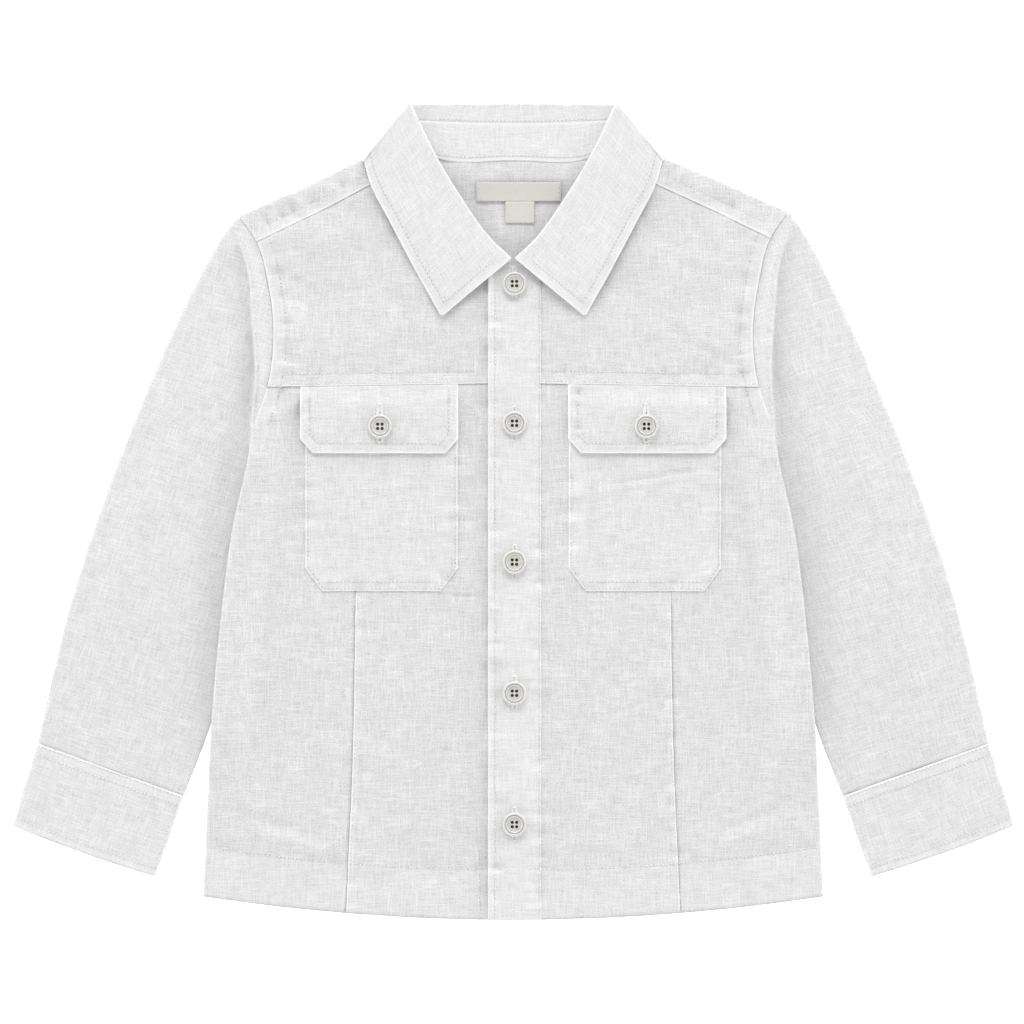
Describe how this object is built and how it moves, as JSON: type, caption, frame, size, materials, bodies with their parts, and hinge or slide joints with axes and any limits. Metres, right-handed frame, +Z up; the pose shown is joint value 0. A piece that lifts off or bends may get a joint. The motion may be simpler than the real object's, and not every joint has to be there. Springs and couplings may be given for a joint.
{
  "type": "linen jacket",
  "caption": "Small child's linen shirt-jacket laid flat on its back and buttoned up, with a point collar, chest yoke, flapped patch pockets and cuffed sleeves",
  "frame": {"origin": "centre of the laid jacket's bounding box, on the surface it lies on", "axes": "+X from the wearer's right sleeve to the left one, +Y from the hem to the collar, +Z up out of the front"},
  "size_m": [0.4742, 0.3884, 0.0084],
  "materials": {
    "linen": "matte",
    "label_weave": "satin",
    "button_resin": "satin"
  },
  "bodies": {
    "root": {"back": "linen", "front_yoke_left": "linen", "front_yoke_right": "linen", "front_centre_left": "linen", "front_centre_right": "linen", "front_side_left": "linen", "front_side_right": "linen", "sleeve_left": "linen", "sleeve_right": "linen", "cuff_left": "linen", "cuff_right": "linen", "pocket_left": "linen", "pocket_right": "linen", "pocket_flap_left": "linen", "pocket_flap_right": "linen", "placket": "linen", "collar_stand": "linen", "collar_fall": "linen", "label": "label_weave", "size_tab": "label_weave", "button_placket_1": "button_resin", "button_placket_2": "button_resin", "button_placket_3": "button_resin", "button_placket_4": "button_resin", "button_placket_5": "button_resin", "button_flap_left": "button_resin", "button_flap_right": "button_resin"}
  },
  "joints": []
}
